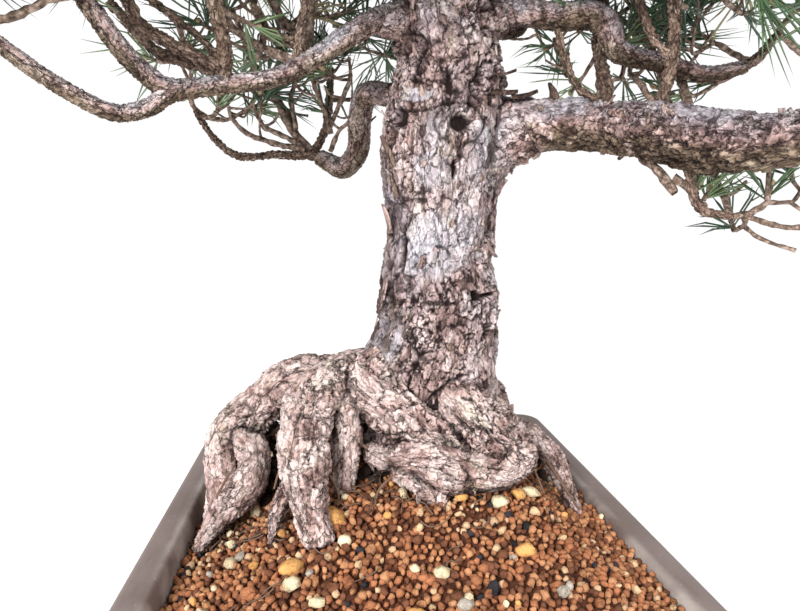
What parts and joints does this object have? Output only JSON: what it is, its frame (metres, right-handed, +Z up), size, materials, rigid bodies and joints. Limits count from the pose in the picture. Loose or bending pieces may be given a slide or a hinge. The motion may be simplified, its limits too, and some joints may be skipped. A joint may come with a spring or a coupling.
{
  "type": "japanese black pine bonsai",
  "caption": "Potted black pine bonsai: flared trunk with arching surface roots, bare boughs and layered needle pads, standing in a shallow unglazed clay pot on a mound of coarse soil.",
  "frame": {"origin": "middle of the whole part's footprint, at the underside of the pot's feet, under the middle of the pot", "axes": "+Z up, +X to the right and +Y away from a viewer who stands at the front of the tree, along the pot's long side"},
  "size_m": [0.5309, 0.3959, 0.5975],
  "materials": {
    "bark": "rough fissured plates",
    "young_bark": "rough scaly",
    "foliage": "satin needles",
    "clay": "matt unglazed",
    "soil": "coarse dry grains"
  },
  "bodies": {
    "root": {"bough_left_back": "young_bark", "bough_left_fork": "young_bark", "bough_left_high": "young_bark", "bough_right_high": "young_bark", "bough_right_low": "bark", "bough_rule_back_low": "young_bark", "bough_rule_back_right": "young_bark", "bough_rule_back_upper": "young_bark", "bough_rule_front": "young_bark", "bough_rule_front_left": "young_bark", "bough_rule_front_right": "young_bark", "bough_rule_left_back_high": "young_bark", "bough_rule_left_upper": "young_bark", "bough_rule_right_upper": "young_bark", "bough_rule_top_left": "young_bark", "bough_rule_top_right": "young_bark", "foliage_back_low": "foliage", "foliage_back_right": "foliage", "foliage_back_upper": "foliage", "foliage_front": "foliage", "foliage_front_left": "foliage", "foliage_front_right": "foliage", "foliage_left_back": "foliage", "foliage_left_back_high": "foliage", "foliage_left_inner": "foliage", "foliage_left_low": "foliage", "foliage_left_mid": "foliage", "foliage_left_twigs": "foliage", "foliage_left_upper": "foliage", "foliage_right_column": "foliage", "foliage_right_low": "foliage", "foliage_right_mid": "foliage", "foliage_right_tip": "foliage", "foliage_right_under": "foliage", "foliage_right_upper": "foliage", "foliage_top": "foliage", "foliage_top_left": "foliage", "foliage_top_right": "foliage", "pot": "clay", "soil": "soil", "trunk": "bark"}
  },
  "joints": []
}
